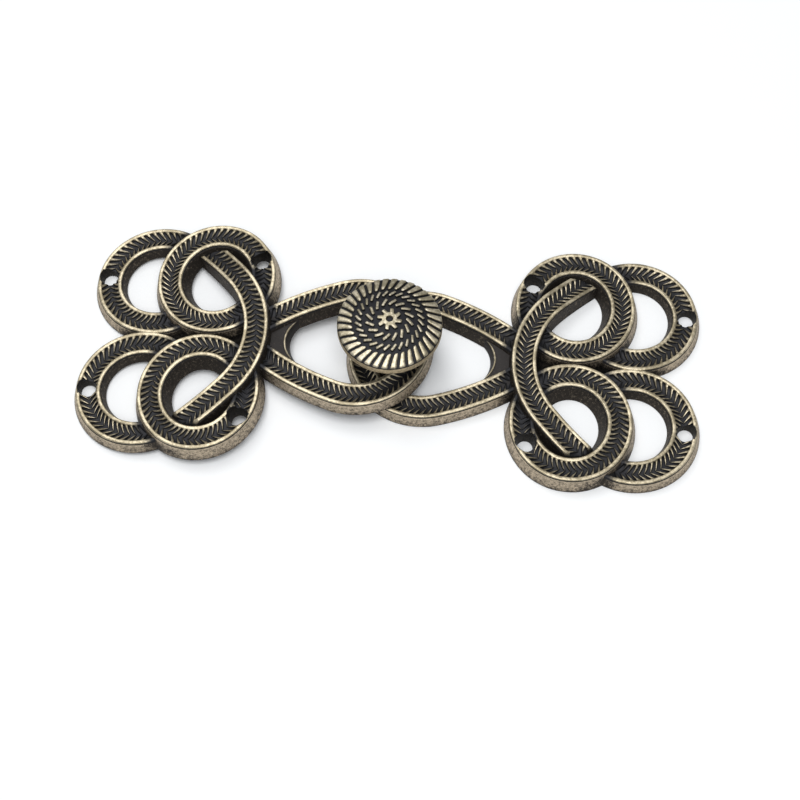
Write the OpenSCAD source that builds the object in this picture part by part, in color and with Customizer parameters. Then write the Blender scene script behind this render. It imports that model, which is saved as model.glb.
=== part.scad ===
// Cloak clasp with a press snap, fastened: two flat-backed castings of knotted band
// that lap at their noses, and a domed cap on the snap axis.
// Millimetres, +Z up. The origin is on the floor below the snap axis, +X runs along the clasp.

/* [Band] */
// Width of the band between its outer edges
band_w = 3.7; // [3.3:0.1:3.8]
// Width of the flat rim on each side of the groove
rim_w = 0.45; // [0.3:0.05:0.6]
// Depth of the V groove between the rims
groove_depth = 0.7; // [0.4:0.05:0.7]
// Draft: how far the foot of the outer wall stands out past the rim
draft_out = 0.65; // [0.3:0.05:0.7]
// Draft of the outer rings' inner wall
outer_draft_in = 0.6; // [0.4:0.05:0.8]
// Draft of the inner rings' inner wall
inner_draft_in = 1.2; // [0.8:0.05:1.3]
// Draft of the loop's inner wall
loop_draft_in = 0.9; // [0.5:0.05:1]

/* [Heights of the rims over the back] */
// Outer rings, the lowest level of the knot
outer_h = 1.9; // [1.7:0.05:1.9]
// Inner rings, which pass over the outer rings
inner_h = 2.65; // [2.6:0.05:2.7]
// Bar, which passes over the inner rings
bar_h = 3.4; // [3.35:0.05:3.6]
// Loop that carries the snap
loop_h = 2.3; // [2.0:0.05:2.3]

/* [Knot plan, from the snap axis] */
// Centre of the outer rings along the clasp
outer_x = 37.65; // [37.2:0.05:38.2]
// Centre of the outer rings across the clasp
outer_y = 9.7; // [9.5:0.05:9.9]
// Radius of the outer rings over the rim
outer_r = 9.75; // [9.4:0.05:10]
// Half angle of the outer rings, which end below the inner rings
outer_half_angle = 125; // [120:1:128]
// Centre of the inner rings along the clasp
inner_x = 28.3; // [27.9:0.05:28.7]
// Centre of the inner rings across the clasp
inner_y = 10.15; // [10:0.05:10.4]
// Half width of the inner rings along the clasp
inner_a = 9.3; // [9:0.05:9.4]
// Half width of the inner rings across the clasp
inner_b = 9.9; // [9.75:0.05:10]

/* [Bar] */
// Centre of the bar's main arc along the clasp
bar_x = 35.75; // [35.6:0.05:35.9]
// Radius of the main arc's outer edge
bar_r = 16.9; // [16.8:0.05:17]
// Half angle of the main arc
bar_half_angle = 43; // [42:1:44]
// Radius of the nearly straight end arcs' outer edge
bar_end_r = 60; // [55:1:65]
// Sweep of each end arc
bar_end_sweep = 10; // [9.5:0.5:11]
// Slope at which the end arcs fall towards the inner rings
bar_end_slope = 8; // [7:0.5:9]

/* [Loop] */
// Centre of the nose arc along the clasp
nose_x = 4.9; // [4.7:0.05:5.1]
// Radius of the nose's outer edge
nose_r = 11.25; // [11:0.05:11.5]
// Half angle of the nose arc
nose_half_angle = 108; // [108:1:108]
// Radius of the flanks' outer edge
flank_r = 45; // [43:0.5:47]
// Sweep of each flank, which ends below the bar
flank_sweep = 18.5; // [18:0.5:19]

/* [Webs] */
// Thickness of the web between the flanks at the knot
web_t = 1.5; // [1.2:0.05:1.55]
// Radius of the web's hollow edge
web_edge_r = 4.9; // [4.8:0.05:5]
// Draft: how far the hollow edge's foot stands out past its top
web_draft = 0.72; // [0.5:0.02:0.8]
// Thickness of the floors of the small pits in the knot
pit_floor_t = 0.8; // [0.5:0.1:1]

/* [Sewing holes] */
// Diameter of the holes
hole_d = 3.1; // [2.8:0.1:3.2]
// Inner holes, from the snap axis
inner_hole_x = 21.66; // [21.5:0.02:21.8]
// Inner holes, from the centre line
inner_hole_y = 14.02; // [13.9:0.02:14.1]
// Outer holes, from the snap axis
outer_hole_x = 45.8; // [45.6:0.05:46]
// Outer holes, from the centre line
outer_hole_y = 10.1; // [9.9:0.05:10.3]

/* [Snap] */
// Radius of the seat in each nose
seat_r = 4.6; // [4.2:0.1:4.8]
// Top of the right half's seat over its back
right_seat_top = 1.5; // [1.2:0.1:1.5]
// Underside of the left half's seat over its back
left_seat_bottom = 0.3; // [0.2:0.05:0.4]
// Top of the left half's seat over its back
left_seat_top = 1.6; // [1.4:0.05:1.6]
// Radius of the post
post_r = 2.3; // [2:0.1:2.3]
// Gap between the post and the pieces that it joins
post_gap = 0.05; // [0.03:0.01:0.1]
// Lift of the left half's nose, which lies on the right half's nose, as a slope in degrees
lap_tilt = 3.06; // [3.06:0.02:3.2]

/* [Cap] */
// Radius of the cap
cap_r = 7.95; // [7.5:0.05:8]
// Height of the cap's underside over the floor
cap_bottom = 8.8; // [8.7:0.05:9]
// Height of the side wall over the floor
cap_wall_top = 10.75; // [10.6:0.05:10.9]
// Rise of the dome
dome_rise = 1.15; // [1:0.05:1.3]
// Height of the relief over its field
relief_h = 0.35; // [0.2:0.05:0.4]
// Number of ridges round the edge
edge_ridges = 36; // [24:1:40]
// Number of dashes in the outer row
outer_dashes = 28; // [20:1:30]
// Number of dashes in the inner row
inner_dashes = 16; // [12:1:18]
// Number of teeth of the star in the middle
star_teeth = 8; // [6:1:10]

/* [Hidden] */
$fn = 96;

brass = "#8a7a58";
dark_brass = "#6c6048";

// Where two arcs of band meet, the second is this much smaller all round and starts
// inside the first
joint_step = 0.03;
bar_joint_lap = 0.15;
flank_joint_lap = 0.6;
oval_joint_lap = 3;

bar_draft_out = 0.7;
bar_draft_in = 0.35;
loop_draft_out = 0.5;
inner_draft_out = 0.7;

// The oval inner ring is four arcs that meet at 45 degrees
oval_shift = (inner_b - inner_a) / (2 - sqrt(2));

// The end arcs of the bar start where the main arc ends, in the same direction
bar_turn = 180 - bar_half_angle;
bar_end_x = bar_x + (bar_r - bar_end_r) * cos(bar_turn);
bar_end_y = (bar_r - bar_end_r) * sin(bar_turn);
bar_end_top = bar_h - joint_step - bar_end_r * sin(bar_joint_lap) * sin(bar_end_slope);

// Cone that cuts the bar's ends: they dip just before the inner rings' walls
dip_x = 27.2;
dip_y = 8.6;
dip_foot_r = 8.3;
dip_top_r = 5.9;
dip_h = 4;

// The flanks start where the nose arc ends, in the same direction
flank_turn = 180 - nose_half_angle;
flank_x = nose_x - (flank_r - nose_r) * cos(flank_turn);
flank_y = (flank_r - nose_r) * sin(flank_turn);

// The left half pivots on the foot of its outer rings
foot_x = outer_x + outer_r + draft_out;

web_start = 13.5;
web_end = 20;
web_half_w = 4.6;
web_edge_x = 10.14;
west_pit = [22, 27];
east_pit = [30, 36];
pit_half_w = 3;

seat_hole_gap = 0.15;
cap_foot_r = 7.5;
cap_foot_h = 0.4;
dome_edge_r = 7.75;
dome_r = (dome_edge_r * dome_edge_r + dome_rise * dome_rise) / (2 * dome_rise);
cap_apex = cap_wall_top + dome_rise;
far = 60;

// Cross-section of a band from its outer radius r inward: drafted walls, two flat rims
// and a V groove between them. It reaches down to the level foot.
module band_section(r, w, h, out, in, foot = 0) {
    slope = (h - foot) / h;
    polygon([
        [r - w - in * slope, foot],
        [r + out * slope, foot],
        [r, h],
        [r - rim_w, h],
        [r - w / 2, h - groove_depth],
        [r - w + rim_w, h],
        [r - w, h],
    ]);
}

// A stretch of band along an arc about the Z axis, from angle a0 over sweep degrees
module arc_band(r, w, h, a0, sweep, out, in, foot = 0) {
    rotate([0, 0, a0])
        rotate_extrude(angle = sweep)
            band_section(r, w, h, out, in, foot);
}

module outer_ring() {
    arc_band(outer_r, band_w, outer_h, -outer_half_angle, 2 * outer_half_angle,
        draft_out, outer_draft_in);
}

module inner_ring() {
    for (side = [0, 1])
        rotate([0, 0, 180 * side]) {
            translate([-oval_shift, 0, 0])
                arc_band(inner_a + oval_shift, band_w, inner_h, -45, 90,
                    inner_draft_out, inner_draft_in);
            translate([0, oval_shift, 0])
                arc_band(inner_b - oval_shift - joint_step, band_w - 2 * joint_step,
                    inner_h - joint_step, 45 - oval_joint_lap, 90 + 2 * oval_joint_lap,
                    inner_draft_out, inner_draft_in);
        }
}

// Upper end arc of the bar: it slopes down about the radial line where it starts and dips
// to the inner ring's wall
module bar_end() {
    intersection() {
        translate([bar_end_x, bar_end_y, bar_end_top])
            rotate([0, 0, bar_turn])
                rotate([bar_end_slope, 0, 0])
                    translate([0, 0, -bar_h])
                        arc_band(bar_end_r - joint_step, band_w - 2 * joint_step, bar_h,
                            -bar_end_sweep, bar_end_sweep + bar_joint_lap,
                            bar_draft_out, bar_draft_in, -2 * bar_h);
        translate([dip_x, dip_y, 0])
            cylinder(r1 = dip_foot_r, r2 = dip_top_r, h = dip_h);
    }
}

module bar() {
    translate([bar_x, 0, 0])
        arc_band(bar_r, band_w, bar_h, bar_turn, 2 * bar_half_angle,
            bar_draft_out, bar_draft_in);
    bar_end();
    mirror([0, 1, 0])
        bar_end();
}

// Almond loop: a round nose at the snap and two long flanks that run under the bar
module loop() {
    translate([nose_x, 0, 0])
        arc_band(nose_r, band_w, loop_h, flank_turn, 2 * nose_half_angle,
            loop_draft_out, loop_draft_in);
    for (side = [0, 1])
        mirror([0, side, 0])
            translate([flank_x, -flank_y, 0])
                arc_band(flank_r - joint_step, band_w - 2 * joint_step, loop_h - joint_step,
                    flank_turn - flank_sweep, flank_sweep + flank_joint_lap,
                    loop_draft_out, loop_draft_in);
}

// The round hollow in the web's edge: it leans back, and it runs into both flanks' walls
module web_hollow() {
    translate([web_edge_x, 0, 0])
        rotate([0, atan(web_draft / web_t), 0])
            cylinder(r = web_edge_r, h = far, center = true);
}

// Thin stock that closes the narrow corners of the casting
module webs() {
    difference() {
        translate([web_start, -web_half_w, 0])
            cube([web_end - web_start, 2 * web_half_w, web_t]);
        web_hollow();
    }
    for (pit = [west_pit, east_pit])
        translate([pit[0], -pit_half_w, 0])
            cube([pit[1] - pit[0], 2 * pit_half_w, pit_floor_t]);
}

module half_clasp(seat_bottom, seat_top) {
    for (side = [-1, 1]) {
        translate([outer_x, side * outer_y, 0])
            outer_ring();
        translate([inner_x, side * inner_y, 0])
            inner_ring();
    }
    bar();
    loop();
    webs();
    translate([0, 0, seat_bottom])
        cylinder(r = seat_r, h = seat_top - seat_bottom);
}

module sewing_holes(x_inner, x_outer) {
    for (side = [-1, 1]) {
        translate([x_inner, side * inner_hole_y, -1])
            cylinder(d = hole_d, h = 10);
        translate([x_outer, side * outer_hole_y, -1])
            cylinder(d = hole_d, h = 10);
    }
}

// Where a point of the left half, x from the snap axis, comes to stand once it is tilted
function tilted_x(x, h) = -foot_x + (foot_x - x) * cos(lap_tilt) - h * sin(lap_tilt);

module right_knot() {
    color(brass)
        difference() {
            half_clasp(0, right_seat_top);
            sewing_holes(inner_hole_x, outer_hole_x);
        }
}

module left_knot() {
    color(brass)
        difference() {
            translate([-foot_x, 0, 0])
                rotate([0, -lap_tilt, 0])
                    translate([foot_x, 0, 0])
                        mirror([1, 0, 0])
                            half_clasp(left_seat_bottom, left_seat_top);
            sewing_holes(tilted_x(inner_hole_x, inner_h / 2), tilted_x(outer_hole_x, outer_h / 2));
            cylinder(r = post_r + seat_hole_gap, h = far);
        }
}

// One stroke of the relief in plan: a strip of width w from radius r0 to r1 that leans
// clockwise by lean degrees on its way out. Its wide end may be wider than its near end.
module stroke(r0, r1, angle, lean, w0, w1) {
    mid_r = (r0 + r1) / 2;
    mid_w = (w0 + w1) / 2;
    mid_lean = 0.6 * lean;
    rows = [[r0, angle, w0], [mid_r, angle - mid_lean, mid_w], [r1, angle - lean, w1]];
    right_side = [for (row = rows) row[0] * [cos(row[1]), sin(row[1])]
        + row[2] / 2 * [sin(row[1]), -cos(row[1])]];
    left_side = [for (i = [2:-1:0]) rows[i][0] * [cos(rows[i][1]), sin(rows[i][1])]
        - rows[i][2] / 2 * [sin(rows[i][1]), -cos(rows[i][1])]];
    polygon(concat(right_side, left_side));
}

module relief_plan() {
    for (i = [0:edge_ridges - 1])
        stroke(5.75, 7.8, i * 360 / edge_ridges + 6.2, 7, 0.5, 0.98);
    for (i = [0:outer_dashes - 1])
        stroke(4.2, 5.15, i * 360 / outer_dashes + 4.2, 7.4, 0.4, 0.4);
    for (i = [0:inner_dashes - 1])
        stroke(2.4, 3.6, i * 360 / inner_dashes + 5.3, 14.3, 0.42, 0.42);
    difference() {
        union() {
            circle(r = 1.05);
            for (i = [0:star_teeth - 1])
                stroke(0.8, 1.8, i * 360 / star_teeth + 31, -9, 0.52, 0.46);
        }
        circle(r = 0.45);
    }
}

module dome(apex) {
    intersection() {
        translate([0, 0, apex - dome_r])
            sphere(r = dome_r, $fn = 240);
        translate([0, 0, cap_bottom + cap_foot_h])
            cylinder(r = cap_r, h = far);
    }
}

module snap_cap() {
    color(brass) {
        dome(cap_apex - relief_h);
        translate([0, 0, cap_bottom])
            cylinder(r1 = cap_foot_r, r2 = cap_r, h = cap_foot_h);
        intersection() {
            dome(cap_apex);
            translate([0, 0, cap_bottom + cap_foot_h])
                linear_extrude(height = cap_apex)
                    relief_plan();
        }
    }
}

module snap_post() {
    color(dark_brass)
        translate([0, 0, right_seat_top + post_gap])
            cylinder(r = post_r, h = cap_bottom - right_seat_top - 2 * post_gap);
}

right_knot();
left_knot();
snap_cap();
snap_post();
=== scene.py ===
"""Cloak clasp with a press snap: two knotted brass castings and a domed cap, fastened.

Lengths are in millimetres, and MM turns them into metres. The floor, the lights and the
camera are given in metres.
"""
import math

import bpy
import numpy as np
from mathutils import Matrix, Vector


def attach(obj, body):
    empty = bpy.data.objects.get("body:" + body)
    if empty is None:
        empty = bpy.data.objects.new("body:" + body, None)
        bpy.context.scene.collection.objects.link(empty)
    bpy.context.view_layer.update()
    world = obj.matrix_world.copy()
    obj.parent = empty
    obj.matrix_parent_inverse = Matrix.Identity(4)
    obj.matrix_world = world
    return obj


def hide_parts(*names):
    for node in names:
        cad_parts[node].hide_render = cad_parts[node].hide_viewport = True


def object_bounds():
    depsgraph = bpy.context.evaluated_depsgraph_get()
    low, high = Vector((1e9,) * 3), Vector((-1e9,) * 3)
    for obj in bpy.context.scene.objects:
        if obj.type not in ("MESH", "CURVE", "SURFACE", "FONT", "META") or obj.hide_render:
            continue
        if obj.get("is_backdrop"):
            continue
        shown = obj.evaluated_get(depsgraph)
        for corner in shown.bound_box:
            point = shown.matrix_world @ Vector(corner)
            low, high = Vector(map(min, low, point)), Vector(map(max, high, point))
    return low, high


MM = 0.001

# A band: half width, the rim's inner edge, and the depth of the V between the rims
HALF_BAND = 1.85
RIM_EDGE = 1.4
V_DEPTH = 0.7
# A chevron: how far its tip runs ahead of its feet, and how strongly its strokes curve
CHEVRON_REACH = 0.92
CHEVRON_CURVE = 1.4

# Heights of the rims above the back
RING_H, LOOP_H, OVAL_H, BAR_H = 1.9, 2.3, 2.65, 3.4
# Where bands cross: the least height by which one counts as passing over the other, how far
# below its rims the other is pressed, and how far past its rims' inner edges
CROSSING_STEP = 0.2
CROSSING_DEPTH = 1.4
CROSSING_MARGIN = 0.05

# The bar's ends dive under a cone: its axis, its radius at the foot, and the radius that it
# loses per unit of height
BAR_SLOPE = math.radians(8)
DIP_X, DIP_Y, DIP_R, DIP_LEAN = 27.2, 8.6, 8.3, 0.6

# The left half is tilted about its far foot, so that its nose lies on the other one
LAP_TILT = math.radians(3.06)
FOOT_X = 48.05

# Sewing holes: the drill's radius at its tip and its head, its length, the level of its
# middle, and the places of the holes in the upper rings
DRILL_TIP_R, DRILL_HEAD_R = 0.95, 1.93
DRILL_LENGTH, DRILL_MIDDLE = 6, 1.5
RING_HOLE, OVAL_HOLE = (45.8, 10.1), (21.66, 14.02)

# The web in the loop's corner: its top, how far the round hollow in its edge leans over
# from the back to the top, the hollow's centre and radius, and the length of its drill
WEB_TOP = 1.5
WEB_OVERHANG = 0.72
WEB_LEAN = math.atan(WEB_OVERHANG / WEB_TOP)
WEB_HOLLOW_X, WEB_HOLLOW_R = 10.14, 4.9
WEB_DRILL = 12
# The bead along the hollow: its radius, and how far it runs to either side
BEAD_R = 0.15
BEAD_SWEEP = math.radians(43)

# The rounding of a plate's edges, and the radius of the snap's seats
PLATE_EDGE = 0.1
SEAT_R = 4.6

# The cap: outer radius, radius of the sphere that the relief lies on, level of its top,
# height of the relief above the dark field, radius of the field, and the cap's underside
CAP_R = 7.95
DOME_R = 26.69
CAP_APEX = 11.9
RELIEF_H = 0.35
FIELD_R = 7.62
CAP_BOTTOM = 8.8


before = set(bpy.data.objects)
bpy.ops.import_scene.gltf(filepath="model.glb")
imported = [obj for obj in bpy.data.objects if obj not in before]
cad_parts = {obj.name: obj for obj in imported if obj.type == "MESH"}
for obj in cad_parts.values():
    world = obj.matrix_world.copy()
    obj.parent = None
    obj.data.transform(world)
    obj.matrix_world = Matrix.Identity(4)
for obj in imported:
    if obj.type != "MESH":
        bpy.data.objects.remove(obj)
cad_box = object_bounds()


def activate(piece):
    """Make one object the only one selected, and the active one."""
    bpy.ops.object.select_all(action="DESELECT")
    piece.select_set(True)
    bpy.context.view_layer.objects.active = piece


def edit(piece):
    activate(piece)
    bpy.ops.object.mode_set(mode="EDIT")
    bpy.ops.mesh.select_all(action="SELECT")


def leave_edit():
    bpy.ops.object.mode_set(mode="OBJECT")


def smooth(piece, degrees):
    """Shade a piece smooth, apart from edges that are sharper than an angle."""
    activate(piece)
    bpy.ops.object.shade_smooth_by_angle(angle=math.radians(degrees))


def finish_modifiers(piece):
    activate(piece)
    for modifier in list(piece.modifiers):
        bpy.ops.object.modifier_apply(modifier=modifier.name)


def cut_out(piece, drill):
    """Cut a solid out of a piece, and take the solid away."""
    cut = piece.modifiers.new("cut", "BOOLEAN")
    cut.operation, cut.solver, cut.object = "DIFFERENCE", "EXACT", drill
    finish_modifiers(piece)
    bpy.data.objects.remove(drill)


def join(name, pieces):
    """Join pieces into the first one and give it a name."""
    activate(pieces[0])
    for piece in pieces:
        piece.select_set(True)
    bpy.ops.object.join()
    pieces[0].name = name
    pieces[0].data.name = name
    return pieces[0]


def mirror(piece, matrix):
    """Move a piece's mesh by a mirroring matrix, and turn its faces outward again."""
    piece.data.transform(matrix)
    piece.data.flip_normals()


def mirrored_copy(piece, matrix):
    """A mirrored copy of a piece, with a mesh of its own."""
    twin = piece.copy()
    twin.data = piece.data.copy()
    bpy.context.collection.objects.link(twin)
    mirror(twin, matrix)
    return twin


def set_finish(piece, wear_and_shade, wall):
    """Say where a piece is rubbed bright, or darkened by painted shade, and where it has the
    grain of a wall, from 0 to 1, for each of its points or all over."""
    for label, values in (("wear_and_shade", wear_and_shade), ("wall", wall)):
        layer = piece.data.attributes.new(label, "FLOAT", "POINT")
        spread = np.broadcast_to(values, len(piece.data.vertices))
        layer.data.foreach_set("value", spread.astype(np.float32))


def reach_and_level(piece):
    """Distance from the snap axis and level of each point of a piece."""
    flat = np.empty(len(piece.data.vertices) * 3, dtype=np.float32)
    piece.data.vertices.foreach_get("co", flat)
    x, y, z = flat.reshape(-1, 3).T / MM
    return np.hypot(x, y), z


def grid_piece(name, x, y, z, wear_and_shade, wall):
    """A grid primitive with its rows and columns of points put in place."""
    rows, columns = x.shape
    bpy.ops.object.select_all(action="DESELECT")
    bpy.ops.mesh.primitive_grid_add(x_subdivisions=columns - 1, y_subdivisions=rows - 1)
    piece = bpy.context.active_object
    piece.name = name
    piece.data.name = name
    points = np.stack([x, y, z], axis=-1) * MM
    piece.data.vertices.foreach_set("co", points.astype(np.float32).ravel())
    set_finish(piece, wear_and_shade.ravel(), wall.ravel())
    piece.data.update()
    return piece


def close_up(piece, fill=True):
    """Merge a piece's seams, close its open ends and point its faces outward."""
    edit(piece)
    bpy.ops.mesh.remove_doubles(threshold=2e-6)
    if fill:
        bpy.ops.mesh.fill_holes(sides=0)
    bpy.ops.mesh.select_all(action="SELECT")
    bpy.ops.mesh.normals_make_consistent(inside=False)
    leave_edit()


class Arc:
    """A stretch of a band's centre line: an arc run counter-clockwise, which may dive.

    A dive is a slope about the radial line at the angle pivot; dive is +1 where the arc
    comes up to the pivot and -1 where it goes down from it. Angles are in degrees.
    """

    def __init__(self, x, y, outer_r, start, end, dive=0, pivot=0.0):
        self.x, self.y = x, y
        self.r = outer_r - HALF_BAND
        self.start, self.end = math.radians(start), math.radians(end)
        self.dive, self.pivot = dive, math.radians(pivot)
        self.length = self.r * (self.end - self.start)

    def top(self, height, angle):
        """Height of the band's rims at an angle."""
        drop = self.dive * self.r * np.sin(angle - self.pivot) * math.sin(BAR_SLOPE)
        return height + drop

    def point(self, along, across, level, height):
        """Where a point of the band lies, from its run along the arc, its distance from the
        centre line, its level, and the height of the band's rims."""
        angle = self.start + along / self.r
        reach = self.r + across
        if not self.dive:
            return self.x + reach * np.cos(angle), self.y + reach * np.sin(angle), level
        out = reach * np.cos(angle - self.pivot)
        side = reach * np.sin(angle - self.pivot)
        below = level - height
        sine, cosine = math.sin(BAR_SLOPE), math.cos(BAR_SLOPE)
        lift = height + below * cosine + self.dive * side * sine
        side = side * cosine - self.dive * below * sine
        turn = (math.cos(self.pivot), math.sin(self.pivot))
        x = self.x + out * turn[0] - side * turn[1]
        y = self.y + out * turn[1] + side * turn[0]
        dip = (DIP_R - np.hypot(x - DIP_X, np.abs(y) - DIP_Y)) / DIP_LEAN
        return x, y, np.minimum(lift, dip)


# A distance past any on the clasp, and the angle by which an arc still covers past its ends
FAR = 99.0
END_MARGIN = 0.02


class Strand:
    """One run of band: its arcs, the height of its rims, the pitch of its chevrons, how far
    its outer and inner walls stand out at the foot, the level of the foot, whether it runs
    all the way round, and how bright its outer walls are painted: their wear and, on the
    bar, painted shade."""

    def __init__(self, arcs, height, pitch, draft_out, draft_in, foot, closed=False,
                 wall_wear_and_shade=0.55):
        self.arcs, self.height, self.pitch, self.closed = arcs, height, pitch, closed
        self.draft_out, self.draft_in, self.foot = draft_out, draft_in, foot
        self.wall_wear_and_shade = wall_wear_and_shade
        self.length = sum(arc.length for arc in arcs)

    def cover(self, x, y):
        """Distance from the centre line and height of the rims over each point."""
        nearest, top = np.full(x.shape, FAR), np.full(x.shape, -FAR)
        for arc in self.arcs:
            dx, dy = x - arc.x, y - arc.y
            middle = (arc.start + arc.end) / 2
            off_middle = np.arctan2(dy, dx) - middle
            angle = (off_middle + math.pi) % (2 * math.pi) - math.pi + middle
            offset = np.abs(np.hypot(dx, dy) - arc.r)
            inside = (angle >= arc.start - END_MARGIN) & (angle <= arc.end + END_MARGIN)
            inside = inside & (offset < nearest)
            nearest = np.where(inside, offset, nearest)
            top = np.where(inside, arc.top(self.height, angle), top)
        return nearest, top


# Across half a band, from the centre line to the rim: distance, half width of a groove as a
# share of the pitch, depth of the groove, wear of a stroke's crest and of its sides. The
# grooves end round before the rim.
GROOVE_COLUMNS = (
    (0.0, 0.45, 0.1, 0.5, 0.18),
    (0.1, 0.42, 0.16, 0.65, 0.22),
    (0.32, 0.38, 0.27, 0.85, 0.34),
    (0.62, 0.35, 0.36, 1.0, 0.52),
    (0.88, 0.34, 0.4, 1.0, 0.62),
    (1.05, 0.33, 0.38, 1.0, 0.74),
    (1.17, 0.31, 0.35, 1.0, 0.86),
    (1.27, 0.24, 0.26, 1.0, 0.98),
)
# The rim: distance, drop below the top
RIM_COLUMNS = ((1.33, 0.03), (1.4, 0.0), (1.72, 0.0), (1.8, 0.02), (1.84, 0.07))
# The wall's top: drop below the rim, step inward, wear and share of wall finish. The step,
# given no wear and so the dark recess colour, makes the fine dark line between the rim and
# the wall.
WALL_TOP = ((0.13, 0.0, 0.95, 0.0), (0.19, 0.07, 0.0, 0.0), (0.36, 0.07, 0.0, 0.0),
            (0.43, 0.0, 0.9, 0.7), (0.6, 0.0, 0.6, 1.0))
# The rest of the wall: share of the way down, wear, which falls towards the foot so that the
# wall is darker there
WALL_FOOT = ((0.6, 0.9), (0.9, 0.7), (1.0, 0.4))
# How much more the wall's top is worn than the rest, and the low wear of the walls that face
# inward, which paints shade on them
WALL_TOP_WEAR = 1.6
INNER_WALL_SHADE = 0.12
# In the plain columns the rows are spaced as for a groove of this half width
PLAIN_HALF_GROOVE = 0.14

# One chevron has six rows of points: the middle of the groove's floor, the floor's edge,
# the groove's upper edge, the crest, and the next groove's upper edge and floor edge. First
# the share of the groove's depth that each is sunk. Then, as shares of the pitch, the widest
# half groove that leaves a crest, the step from upper edge to floor edge, and the narrowest
# half floor.
ROW_SINK = np.array([1, 0.95, 0.15, 0, 0.15, 0.95])
WIDEST_GROOVE = 0.49
FLOOR_STEP, NARROWEST_FLOOR = 0.11, 0.02
# A column whose groove is shallower than this is plain
PLAIN_DEPTH = 0.05

# Painted shade, with some unrubbed patina, in the corners beside a higher band: its reach
# from that band's wall, the width over which it fades out, the difference in height that
# makes it full, and how dark it is
CORNER_REACH, CORNER_FADE, CORNER_HEIGHT, CORNER_SHADE_AND_PATINA = 2.5, 2, 0.9, 0.85


def half_columns(height, draft, wall_wear_and_shade):
    """Columns from the centre line to the foot: distance, level, groove half width, groove
    depth, reach of the chevron, wear of crest and side, and wall finish."""
    columns = []
    for distance, half_groove, depth, crest, side in GROOVE_COLUMNS:
        slope = 1 - distance / RIM_EDGE
        columns.append((distance, height - V_DEPTH * slope, half_groove, depth,
                        CHEVRON_REACH * slope ** CHEVRON_CURVE, crest, side, 0.0))

    def plain(distance, level, wear, wall):
        columns.append((distance, level, PLAIN_HALF_GROOVE, 0.0, 0.0, wear, wear, wall))

    for distance, drop in RIM_COLUMNS:
        plain(distance, height - drop, 1.0, 0.0)
    for drop, step, wear, wall in WALL_TOP:
        lean = draft * drop / height
        plain(HALF_BAND + lean - step, height - drop,
              wear * wall_wear_and_shade * WALL_TOP_WEAR if wall else wear, wall)
    for share, wear in WALL_FOOT:
        plain(HALF_BAND + draft * share, height * (1 - share), wear * wall_wear_and_shade, 1.0)
    return columns


def chevron_band(name, strand, pointing):
    """A band with cast chevrons, bent along its arcs and pressed down below other bands.
    The chevrons point along the strand where pointing is 1, and back where it is -1."""
    others = [other for other in strands if other is not strand]
    outer = half_columns(strand.height, strand.draft_out, strand.wall_wear_and_shade)
    inner = half_columns(strand.height, strand.draft_in, INNER_WALL_SHADE)
    columns = [(-c[0],) + c[1:] for c in reversed(inner)] + outer[1:]
    columns.append(columns[0])
    across, level, half_groove, depth, reach, crest, side, wall = np.array(columns).T

    count = round(strand.length / strand.pitch)
    pitch = strand.length / count
    ridge = np.minimum(half_groove, WIDEST_GROOVE)
    floor = np.maximum(half_groove - FLOOR_STEP, NARROWEST_FLOOR)
    zero = np.zeros_like(ridge)
    phases = np.stack([zero, floor, ridge, zero + 0.5, 1 - ridge, 1 - floor])
    groove = np.where(depth < PLAIN_DEPTH, crest, 0.0)
    wears = np.stack([groove, groove, side, crest, side, groove])

    number = np.arange(count * len(phases) + 1)
    row, chevron = number % len(phases), number // len(phases)
    phase = phases[row] + chevron[:, None]
    # An open band ends in rows that run straight across
    ends = 1.0 if strand.closed else np.clip(np.minimum(phase, count - phase) / 2, 0, 1)
    along = phase * pitch + pointing * reach * ends
    if strand.closed:
        along = along % strand.length
    z = np.maximum(level - ROW_SINK[row][:, None] * depth, strand.foot)

    x, y, height = np.zeros(along.shape), np.zeros(along.shape), np.zeros(along.shape)
    top = np.full(along.shape, strand.height)
    start = 0.0
    for arc in strand.arcs:
        first, last = arc is strand.arcs[0], arc is strand.arcs[-1]
        here = ((along >= start) | (first and not strand.closed)) & (
            (along < start + arc.length) | last)
        placed = zip(arc.point(along - start, across, z, strand.height), (x, y, height))
        x, y, height = (np.where(here, new, old) for new, old in placed)
        angle = arc.start + (along - start) / arc.r
        top = np.where(here, arc.top(strand.height, angle), top)
        start += arc.length

    for other in others:
        distance, other_top = other.cover(x, y)
        below = (distance < RIM_EDGE + CROSSING_MARGIN) & (other_top > top + CROSSING_STEP)
        press = np.maximum(top - other_top + CROSSING_DEPTH, 0)
        height = height - np.where(below, press, 0)
    height = np.maximum(height, strand.foot)
    # Painted shade by higher bands, with some unrubbed patina: nearby points lose wear and
    # come out dark
    corner = np.zeros(height.shape)
    for other in others:
        distance, other_top = other.cover(x, y)
        near = np.clip((HALF_BAND + CORNER_REACH - distance) / CORNER_FADE, 0, 1)
        over = np.clip((other_top - height) / CORNER_HEIGHT, 0, 1)
        corner = np.maximum(corner, near * over)
    wear_and_shade = wears[row] * (1 - CORNER_SHADE_AND_PATINA * corner)

    piece = grid_piece(name, x, y, height, wear_and_shade, np.broadcast_to(wall, wear_and_shade.shape))
    close_up(piece, fill=not strand.closed)
    return piece


# The outer rings: place of the upper one's centre, outer radius, and the angle to which the
# ring runs on either side
RING_X, RING_Y, RING_R, RING_SWEEP = 37.65, 9.7, 9.75, 125
# The inner rings, slightly oval: place of the upper one's centre, and outer half size along
# the clasp and across it
OVAL_X, OVAL_Y, OVAL_HALF_X, OVAL_HALF_Y = 28.3, 10.15, 9.3, 9.9
# The bar: centre and outer radius of its bow, outer radius of its flatter ends, and the
# angles at which the bow meets them and they end
BAR_X, BAR_R, BAR_END_R, BAR_MEET, BAR_TIP = 35.75, 16.9, 60, 137, 127
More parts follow.
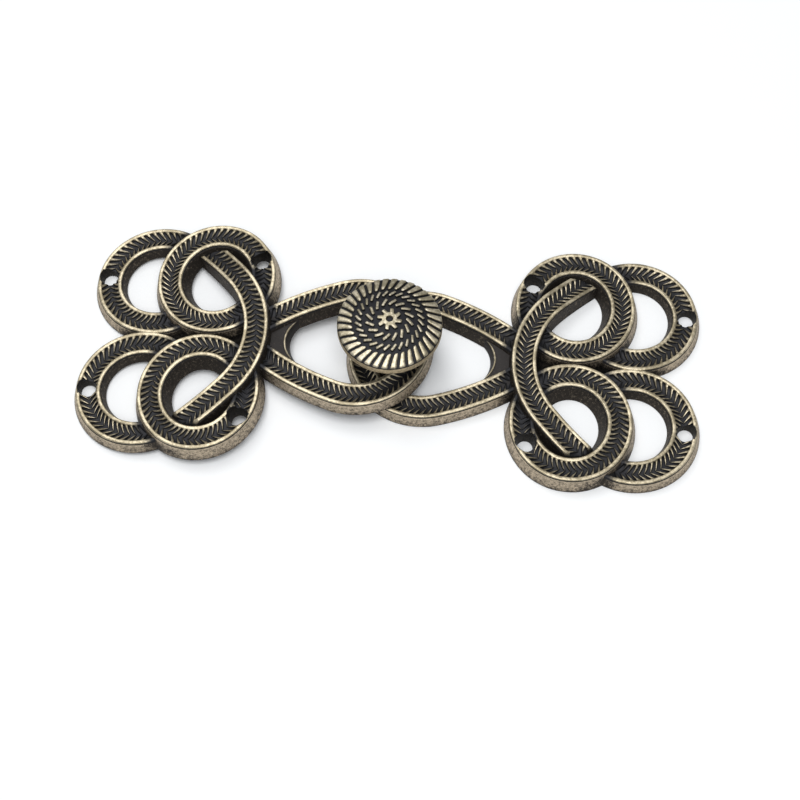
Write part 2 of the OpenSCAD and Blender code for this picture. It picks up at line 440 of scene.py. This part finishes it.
# The loop: centre and outer radius of its nose, and the angle at which the sides meet it.
# Then centre and outer radius of the sides, and the angle at which they end.
LOOP_X, LOOP_R, LOOP_MEET = 4.9, 11.25, 72
LOOP_SIDE_X, LOOP_SIDE_Y, LOOP_SIDE_R, LOOP_TIP = -5.529, 32.098, 45, 53.5


def ring_arcs(y_sign):
    return [Arc(RING_X, y_sign * RING_Y, RING_R, -RING_SWEEP, RING_SWEEP)]


def oval_arcs(y_sign):
    """Four arcs of a quarter turn each. The two at the oval's ends are the tighter ones."""
    x, y = OVAL_X, y_sign * OVAL_Y
    shift = (OVAL_HALF_Y - OVAL_HALF_X) / (2 - math.sqrt(2))
    flat_r, tight_r = OVAL_HALF_X + shift, OVAL_HALF_Y - shift
    return [Arc(x - shift, y, flat_r, -45, 45), Arc(x, y + shift, tight_r, 45, 135),
            Arc(x + shift, y, flat_r, 135, 225), Arc(x, y - shift, tight_r, 225, 315)]


def bar_arcs():
    turn = math.radians(BAR_MEET)
    x = BAR_X + (BAR_R - BAR_END_R) * math.cos(turn)
    y = (BAR_R - BAR_END_R) * math.sin(turn)
    far_meet, far_tip = 360 - BAR_MEET, 360 - BAR_TIP
    return [Arc(x, y, BAR_END_R, BAR_TIP, BAR_MEET, dive=1, pivot=BAR_MEET),
            Arc(BAR_X, 0, BAR_R, BAR_MEET, far_meet),
            Arc(x, -y, BAR_END_R, far_meet, far_tip, dive=-1, pivot=far_meet)]


def loop_arcs():
    return [Arc(LOOP_SIDE_X, -LOOP_SIDE_Y, LOOP_SIDE_R, LOOP_TIP, LOOP_MEET),
            Arc(LOOP_X, 0, LOOP_R, LOOP_MEET, 360 - LOOP_MEET),
            Arc(LOOP_SIDE_X, LOOP_SIDE_Y, LOOP_SIDE_R, 360 - LOOP_MEET, 360 - LOOP_TIP)]


upper_ring, lower_ring = (
    Strand(ring_arcs(y_sign), RING_H, pitch=0.9, draft_out=0.65, draft_in=0.6, foot=0.0)
    for y_sign in (1, -1))
upper_oval, lower_oval = (
    Strand(oval_arcs(y_sign), OVAL_H, pitch=0.905, draft_out=0.7, draft_in=1.2, foot=0.01,
           closed=True)
    for y_sign in (1, -1))
# The bar's outer walls get little wear: painted shade in the tight corners by the pits and
# the web
bar = Strand(bar_arcs(), BAR_H, pitch=0.96, draft_out=0.7, draft_in=0.35, foot=0.02,
             wall_wear_and_shade=0.1)
loop = Strand(loop_arcs(), LOOP_H, pitch=0.925, draft_out=0.5, draft_in=0.9, foot=0.03)
strands = [upper_ring, lower_ring, upper_oval, lower_oval, bar, loop]


class Value:
    """A socket in a material, with arithmetic that adds Math nodes."""

    def __init__(self, recipe, socket):
        self.recipe, self.socket = recipe, socket

    def math(self, operation, first, second):
        return self.recipe.node("ShaderNodeMath", {"operation": operation},
                                {0: first, 1: second})

    def __add__(self, other):
        return self.math("ADD", self, other)

    def __sub__(self, other):
        return self.math("SUBTRACT", self, other)

    def __rsub__(self, other):
        return self.math("SUBTRACT", other, self)

    def __mul__(self, other):
        return self.math("MULTIPLY", self, other)

    __radd__ = __add__
    __rmul__ = __mul__

    def clamped(self):
        return self.recipe.node("ShaderNodeClamp", {}, {"Value": self})


class Recipe:
    """A material and the nodes of its finish."""

    def __init__(self, name, slot_colour):
        self.material = bpy.data.materials.new(name)
        self.material.use_nodes = True
        self.material.diffuse_color = (*slot_colour, 1)
        self.tree = self.material.node_tree
        self.shader = self.tree.nodes["Principled BSDF"]
        self.place = self.node("ShaderNodeTexCoord", {}, {}, "Object")

    def feed(self, socket, value):
        if isinstance(value, Value):
            self.tree.links.new(value.socket, socket)
        else:
            socket.default_value = value

    def node(self, kind, settings, values, output=0):
        """Add a node: its settings first, then the values or links of its sockets."""
        made = self.tree.nodes.new(kind)
        for name, setting in settings.items():
            setattr(made, name, setting)
        for name, value in values.items():
            self.feed(made.inputs[name], value)
        return Value(self, made.outputs[output])

    def noise(self, per_mm, detail, roughness):
        return self.node("ShaderNodeTexNoise", {}, {
            "Vector": self.place, "Scale": per_mm / MM, "Detail": detail,
            "Roughness": roughness})

    def layer(self, name):
        return self.node("ShaderNodeAttribute", {"attribute_name": name}, {}, "Fac")

    def between(self, value, low, high):
        """0 below low, 1 above high, smooth between."""
        return self.node("ShaderNodeMapRange", {"interpolation_type": "SMOOTHSTEP"}, {
            "Value": value, "From Min": low, "From Max": high})

    def blend(self, share, first, second):
        """A mix of two colours: its sockets 0, 6 and 7 are the share and the colours, and
        its output 2 is the colour that comes out."""
        return self.node("ShaderNodeMix", {"data_type": "RGBA"}, {
            0: share, 6: self.rgba(first), 7: self.rgba(second)}, 2)

    @staticmethod
    def rgba(colour):
        return colour if isinstance(colour, Value) else (*colour, 1)

    def bump(self, height, strength, depth):
        return self.node("ShaderNodeBump", {}, {
            "Height": height, "Strength": strength, "Distance": depth * MM})

    def finish(self, **sockets):
        for name, value in sockets.items():
            self.feed(self.shader.inputs[name.replace("_", " ")], value)
        return self.material


def antique_brass(name, worn_light, worn_deep, wall_light, wall_dark, recess, polish):
    """Cast brass: dark in the recesses, rubbed on the rims, mottled grain on the walls."""
    r = Recipe(name, worn_light)
    wear_and_shade, wall = r.layer("wear_and_shade"), r.layer("wall")
    # Broad patches, fine mottling, and the grain of the casting
    cloud = r.noise(0.35, 3.0, 0.6)
    fine = r.noise(2.2, 3.0, 0.65)
    grain = r.noise(7.0, 2.0, 0.7)
    # The wear layer holds rub wear and painted shade; its low values give the dark recess
    # colour
    rubbed = r.between(wear_and_shade + (fine - 0.5) * 0.4, 0.3, 0.85)
    shine = r.between(cloud + (fine - 0.5) * 0.9, 0.35, 0.68)
    metal = r.blend(shine, worn_deep, worn_light)
    relief = r.blend(rubbed, recess, metal)
    patch = fine * 0.55 + grain * 0.45 + (wear_and_shade - 0.4) * 0.5
    mottled = r.blend(r.between(patch, 0.36, 0.68), wall_dark, wall_light)
    colour = r.blend(wall, relief, mottled)
    rough = 0.56 - rubbed * polish + wall * 0.06 + (fine - 0.5) * 0.16
    metallic = (0.8 + rubbed * 0.2).clamped()
    skin = r.bump(fine * 0.6 + grain * (0.25 + wall * 0.9), 0.6, 0.05)
    return r.finish(Base_Color=colour, Roughness=rough, Metallic=metallic, Normal=skin)


def dark_brass(name, dark, light, metallic):
    """Near-black cast brass, painted shade: on the pit floors, and over the dark of unrubbed
    brass on the walls of the holes.
    """
    r = Recipe(name, light)
    speck = r.noise(3.0, 3.0, 0.6)
    colour = r.blend(r.between(speck, 0.35, 0.7), dark, light)
    rough = 0.55 + (speck - 0.5) * 0.2
    skin = r.bump(speck, 0.5, 0.04)
    return r.finish(Base_Color=colour, Roughness=rough, Metallic=metallic, Normal=skin)


knot_brass = antique_brass(
    "cast_brass", worn_light=(0.68, 0.595, 0.43), worn_deep=(0.34, 0.29, 0.195),
    wall_light=(0.6, 0.5, 0.37), wall_dark=(0.042, 0.035, 0.029),
    recess=(0.03, 0.03, 0.033), polish=0.1)
cap_brass = antique_brass(
    "cap_brass", worn_light=(0.67, 0.6, 0.455), worn_deep=(0.4, 0.35, 0.24),
    wall_light=(0.5, 0.41, 0.27), wall_dark=(0.12, 0.09, 0.05),
    recess=(0.022, 0.022, 0.025), polish=0.11)
# The walls of the sewing holes: near-black, painted shade over the dark of unrubbed brass
hole_patina_and_shade = dark_brass(
    "hole_wall_patina_and_shade", dark=(0.012, 0.011, 0.01), light=(0.04, 0.034, 0.026), metallic=0.7)
# The floors of the pits: near-black, painted shade
pit_shade_brass = dark_brass(
    "pit_shade_floor", dark=(0.003, 0.003, 0.003), light=(0.014, 0.012, 0.01), metallic=1.0)


def sew_hole(piece, place):
    """Cut a round sewing hole, which narrows downwards, through a band. The band's faces
    are split first, because a clean cut needs flat ones."""
    x, y = place
    edit(piece)
    bpy.ops.mesh.quads_convert_to_tris()
    leave_edit()
    bpy.ops.object.select_all(action="DESELECT")
    bpy.ops.mesh.primitive_cone_add(vertices=56, radius1=DRILL_TIP_R * MM,
                                    radius2=DRILL_HEAD_R * MM, depth=DRILL_LENGTH * MM,
                                    location=(x * MM, y * MM, DRILL_MIDDLE * MM))
    drill = bpy.context.active_object
    # The drill's faces give the hole walls their near-black painted shade
    for material in (knot_brass, hole_patina_and_shade):
        drill.data.materials.append(material)
        piece.data.materials.append(material)
    drill.data.polygons.foreach_set("material_index", [1] * len(drill.data.polygons))
    cut_out(piece, drill)


def plate(name, low, high):
    """A thin cast plate between two corners."""
    bpy.ops.object.select_all(action="DESELECT")
    centre = [(a + b) / 2 * MM for a, b in zip(low, high)]
    bpy.ops.mesh.primitive_cube_add(size=1, location=centre)
    piece = bpy.context.active_object
    piece.name = name
    piece.scale = [(b - a) * MM for a, b in zip(low, high)]
    bpy.ops.object.transform_apply(location=True, rotation=False, scale=True)
    return piece


def round_edges(piece):
    bevel = piece.modifiers.new("round edges", "BEVEL")
    bevel.width, bevel.segments, bevel.limit_method = PLATE_EDGE * MM, 3, "ANGLE"
    finish_modifiers(piece)


def pit_shade_floor(name, low, high):
    """A near-black plate at the bottom of a pit between the strands: painted shade."""
    piece = plate(name, low, high)
    round_edges(piece)
    set_finish(piece, wear_and_shade=0.0, wall=0.0)
    piece.data.materials.append(pit_shade_brass)
    return piece


def loop_web():
    """The thin web that closes the corner of the loop, with a hollow round edge."""
    piece = plate("web", (13.5, -4.6, 0.04), (20, 4.6, WEB_TOP))
    bpy.ops.object.select_all(action="DESELECT")
    bpy.ops.mesh.primitive_cylinder_add(
        vertices=120, radius=WEB_HOLLOW_R * MM, depth=WEB_DRILL * MM,
        location=(WEB_HOLLOW_X * MM, 0, 0), rotation=(0, WEB_LEAN, 0))
    cut_out(piece, bpy.context.active_object)
    round_edges(piece)
    set_finish(piece, wear_and_shade=0.0, wall=0.5)
    return piece


def web_bead():
    """The fine raised line along the top of the web's hollow. It thins out at its ends."""
    across = WEB_HOLLOW_R / math.cos(WEB_LEAN)
    centre = WEB_HOLLOW_X + WEB_TOP * math.tan(WEB_LEAN)
    share, turn = np.meshgrid(np.linspace(-1, 1, 49), np.linspace(0, 2 * math.pi, 11),
                              indexing="ij")
    angle = share * BEAD_SWEEP
    thick = BEAD_R * (1.02 - share ** 4)
    x = centre + across * np.cos(angle) + thick * np.cos(turn) * np.cos(angle)
    y = WEB_HOLLOW_R * np.sin(angle) + thick * np.cos(turn) * np.sin(angle)
    z = WEB_TOP + thick * np.sin(turn)
    bead = grid_piece("bead", x, y, z, wear_and_shade=np.full(x.shape, 0.8), wall=np.zeros(x.shape))
    close_up(bead)
    return bead


def turned(name, profile, steps):
    """A piece turned about the snap axis from a profile of radius and height."""
    mesh = bpy.data.meshes.new(name)
    mesh.from_pydata([(r * MM, 0, z * MM) for r, z in profile],
                     [(i, i + 1) for i in range(len(profile) - 1)], [])
    piece = bpy.data.objects.new(name, mesh)
    bpy.context.collection.objects.link(piece)
    edit(piece)
    bpy.ops.mesh.spin(steps=steps, angle=2 * math.pi, center=(0, 0, 0), axis=(0, 0, 1))
    bpy.ops.mesh.select_all(action="SELECT")
    bpy.ops.mesh.remove_doubles(threshold=1e-6)
    bpy.ops.mesh.normals_make_consistent(inside=False)
    leave_edit()
    return piece


def snap_seat(bottom, top):
    """The plain round seat inside a nose, with its upper edge rounded off."""
    profile = [(0, top), (1.5, top), (2.6, top), (SEAT_R - 0.2, top),
               (SEAT_R - 0.05, top - 0.06), (SEAT_R, top - 0.2), (SEAT_R, bottom + 0.1),
               (SEAT_R - 0.1, bottom), (0, bottom)]
    piece = turned("seat", profile, steps=64)
    set_finish(piece, wear_and_shade=0.15, wall=1.0)
    return piece


def build_half(side, loop_pointing, bar_pointing, seat_bottom, seat_top):
    """One casting, shaped as the right half and mirrored for the left one."""
    ring = chevron_band("ring", upper_ring, pointing=1)
    sew_hole(ring, RING_HOLE)
    oval = chevron_band("oval", upper_oval, pointing=-1)
    sew_hole(oval, OVAL_HOLE)
    flip = Matrix.Scale(-1, 4, (0, 1, 0))
    parts = [ring, mirrored_copy(ring, flip), oval, mirrored_copy(oval, flip),
             chevron_band("bar", bar, bar_pointing),
             chevron_band("loop", loop, loop_pointing),
             loop_web(),
             web_bead(),
             pit_shade_floor("west_pit", (22, -3, 0.05), (27, 3, 0.8)),
             pit_shade_floor("east_pit", (30, -3, 0.05), (36, 3, 0.8)),
             snap_seat(seat_bottom, seat_top)]
    for part in parts:
        if not part.data.materials:
            part.data.materials.append(knot_brass)
    half = join(side + "_half", parts)
    if side == "left":
        tilt = (Matrix.Translation((-FOOT_X * MM, 0, 0)) @ Matrix.Rotation(-LAP_TILT, 4, "Y")
                @ Matrix.Translation((FOOT_X * MM, 0, 0)))
        mirror(half, tilt @ Matrix.Scale(-1, 4, (1, 0, 0)))
    smooth(half, 38)
    return half


right_half = build_half("right", loop_pointing=1, bar_pointing=1,
                        seat_bottom=0.04, seat_top=1.5)
left_half = build_half("left", loop_pointing=-1, bar_pointing=-1,
                       seat_bottom=0.3, seat_top=1.6)


def dome(radius, apex):
    """Level of the dome at a distance from the snap axis."""
    return apex - DOME_R + np.sqrt(DOME_R ** 2 - radius ** 2)


# A stroke of the cap's relief. Along it: share of its length and how far each row is sunk
STROKE_ROWS = np.array([(0, 1), (0, 0.35), (0.05, 0.08), (0.14, 0), (0.3, 0), (0.5, 0),
                        (0.7, 0), (0.86, 0), (0.95, 0.08), (1, 0.35), (1, 1)])
# Across it: share of its half width and how far each column is sunk
STROKE_COLUMNS = np.array([(-1, 1), (-0.94, 0.4), (-0.72, 0.1), (-0.36, 0.02), (0, 0),
                           (0.36, 0.02), (0.72, 0.1), (0.94, 0.4), (1, 1)])
# How narrow a rounded end gets, at the stroke's inner and its outer end
INNER_TIP, OUTER_TIP = 0.55, 0.65
# How strongly a stroke bows where its ends follow the cap's edge, and where they are square
EDGE_BOW, SQUARE_BOW = 0.6, 0.2
# How deep a stroke is set into the field, and how fast its wear fades down its sides
STROKE_SEAT = 0.08
STROKE_FADE = 1.3

# The rings of strokes: name, inner and outer radius, angle of the first stroke, degrees
# that it leans on its way outward, width at its inner and outer end, count, wear, share of
# the length that is rounded at either end, and whether the ends are square to the stroke
CAP_RELIEF = (
    ("edge_ridges", 5.66, 7.88, 6.0, 6.8, 0.66, 1.07, 36, 1.0, 0.12, 0.02, False),
    ("outer_dashes", 4.28, 5.22, 6.4, 11.5, 0.5, 0.5, 28, 0.67, 0.12, 0.12, True),
    ("inner_dashes", 2.5, 3.65, 7.7, 19.3, 0.55, 0.55, 16, 0.67, 0.1, 0.1, True),
    ("star_teeth", 0.8, 1.9, 29, -9, 0.8, 0.74, 8, 0.74, 0.02, 0.2, False),
)


def strokes(name, r0, r1, angle, lean, w0, w1, count, wear, round0, round1, square):
    """A ring of raised strokes. One is shaped on the dome and spun about the snap axis."""
    lean = math.radians(lean)
    aim = -math.atan(lean * (r0 + r1) / 2 / (r1 - r0)) if square else 0
    bow = SQUARE_BOW if square else EDGE_BOW
    t, c = np.meshgrid(STROKE_ROWS[:, 0], STROKE_COLUMNS[:, 0], indexing="ij")
    reach = r0 + t * (r1 - r0)
    turn = math.radians(angle) - lean * (t + bow * t * (1 - t))
    narrow = np.minimum(1, INNER_TIP + t / round0 * (1 - INNER_TIP))
    narrow = narrow * np.minimum(1, OUTER_TIP + (1 - t) / round1 * (1 - OUTER_TIP))
    half_width = (w0 + t * (w1 - w0)) / 2 * narrow
    x = reach * np.cos(turn) - c * half_width * np.sin(turn + aim)
    y = reach * np.sin(turn) + c * half_width * np.cos(turn + aim)
    sink = np.maximum(STROKE_ROWS[:, 1, None], STROKE_COLUMNS[None, :, 1])
    z = dome(np.hypot(x, y), CAP_APEX) - sink * (RELIEF_H + STROKE_SEAT)
    piece = grid_piece(name, x, y, z, wear_and_shade=wear * np.maximum(1 - STROKE_FADE * sink, 0),
                       wall=np.zeros_like(sink))
    close_up(piece)
    edit(piece)
    bpy.ops.mesh.spin(steps=count - 1, dupli=True, angle=2 * math.pi * (count - 1) / count,
                      center=(0, 0, 0), axis=(0, 0, 1))
    leave_edit()
    return piece


def cap_body():
    """The turned body: a dark domed field, a rounded edge, a rubbed wall, a flat back."""
    field = [(r, float(dome(r, CAP_APEX - RELIEF_H))) for r in np.linspace(0, FIELD_R, 24)]
    edge = field[-1][1]
    rim = [(7.72, edge - 0.02), (7.8, edge - 0.06), (7.88, edge - 0.13),
           (7.93, edge - 0.22), (CAP_R, edge - 0.34), (CAP_R, 9.8), (CAP_R, 9.25),
           (7.91, 9.12), (7.6, 8.86), (7.5, CAP_BOTTOM), (7.3, CAP_BOTTOM),
           (2.0, CAP_BOTTOM), (0, CAP_BOTTOM)]
    body = turned("body", field + rim, steps=144)
    reach, level = reach_and_level(body)
    wall = (reach > 7.9) & (level < edge - 0.15)
    set_finish(body, wear_and_shade=np.where(wall, 0.6, 0.0), wall=np.where(wall, 1.0, 0.0))
    return body


def star_hub():
    """The small ring in the middle of the star, rubbed on top and dark in its hollow."""
    profile = [(0, 11.4), (0.44, 11.45), (0.5, 11.75), (0.58, 11.88), (0.9, 11.88),
               (1.1, 11.86), (1.18, 11.74), (1.22, 11.4), (0, 11.3)]
    hub = turned("hub", profile, steps=48)
    reach, level = reach_and_level(hub)
    set_finish(hub, wear_and_shade=np.clip((level - 11.5) / 0.31, 0, 0.74) * (reach > 0.46), wall=0.0)
    return hub


def build_cap():
    """The domed cap: a turned body, and the raised relief on it."""
    parts = [cap_body(), star_hub()] + [strokes(*row) for row in CAP_RELIEF]
    for part in parts:
        part.data.materials.append(cap_brass)
    whole = join("domed_cap", parts)
    smooth(whole, 42)
    return whole


def build_post():
    """The plain post between the seats and the cap, a hair thinner in its upper half."""
    profile = [(0, 8.75), (2.1, 8.75), (2.26, 8.7), (2.3, 8.58), (2.3, 8.35), (2.24, 8.25),
               (2.24, 5.4), (2.3, 5.3), (2.3, 1.75), (2.24, 1.62), (2.1, 1.55), (0, 1.55)]
    stem = turned("snap_stem", profile, steps=64)
    set_finish(stem, wear_and_shade=0.45, wall=1.0)
    stem.data.materials.append(knot_brass)
    smooth(stem, 40)
    return stem


cap = build_cap()
post = build_post()

for piece, node, slot in ((right_half, "right_knot", "cast_brass"),
                          (left_half, "left_knot", "cast_brass"),
                          (cap, "snap_cap", "cap_brass"),
                          (post, "snap_post", "post_brass")):
    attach(piece, "root")
    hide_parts(node)


def floor_paper():
    r = Recipe("floor_paper", (0.9, 0.9, 0.92))
    return r.finish(Base_Color=(0.95, 0.96, 0.965, 1), Roughness=0.9)


# The floor lies a tenth of a millimetre below the clasp's back
bpy.ops.object.select_all(action="DESELECT")
bpy.ops.mesh.primitive_plane_add(size=3.0)
floor = bpy.context.active_object
floor.name = "floor"
floor.data.transform(Matrix.Translation((0, 0, -0.1 * MM)))
floor.data.materials.append(floor_paper())
floor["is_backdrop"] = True

LIT_SPOT = Vector((0, 0, 0.003))


def soft_light(name, watts, width, place):
    """A square soft light that faces the clasp."""
    light = bpy.data.lights.new(name, "AREA")
    light.energy, light.size = watts, width
    lamp = bpy.data.objects.new(name, light)
    bpy.context.collection.objects.link(lamp)
    lamp.location = place
    lamp.rotation_euler = (LIT_SPOT - Vector(place)).to_track_quat("-Z", "Y").to_euler()


soft_light("overhead", 1.5, 0.36, (-0.01, -0.03, 0.6))
soft_light("front", 0.7, 0.3, (0.03, -0.28, 0.5))
soft_light("back_left", 0.8, 0.22, (-0.16, 0.26, 0.5))

world = bpy.data.worlds.new("studio")
bpy.context.scene.world = world
world.use_nodes = True
sky = world.node_tree.nodes["Background"].inputs
sky["Color"].default_value = (0.93, 0.96, 1.0, 1)
sky["Strength"].default_value = 0.38
bpy.context.scene.view_settings.view_transform = "Standard"

# The camera: its place, and the directions to its right, behind it and above it
camera_place = (0.013134, -0.119047, 0.211103)
sight_x = Vector((0.99617, 0.08725, -0.00568)).normalized()
sight_back = Vector((0.04596, -0.46722, 0.88295)).normalized()
sight_up = sight_back.cross(sight_x)
camera_data = bpy.data.cameras.new("camera")
camera_data.sensor_width = 36
camera_data.lens = 69.856
camera_data.clip_start = 0.01
camera = bpy.data.objects.new("camera", camera_data)
bpy.context.collection.objects.link(camera)
camera.matrix_world = Matrix((*zip(sight_x, sight_up, sight_back, camera_place),
                              (0, 0, 0, 1)))
bpy.context.scene.camera = camera


def plain(box):
    return [[float(number) for number in corner] for corner in box]


{"cad": plain(cad_box), "visual": plain(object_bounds())}
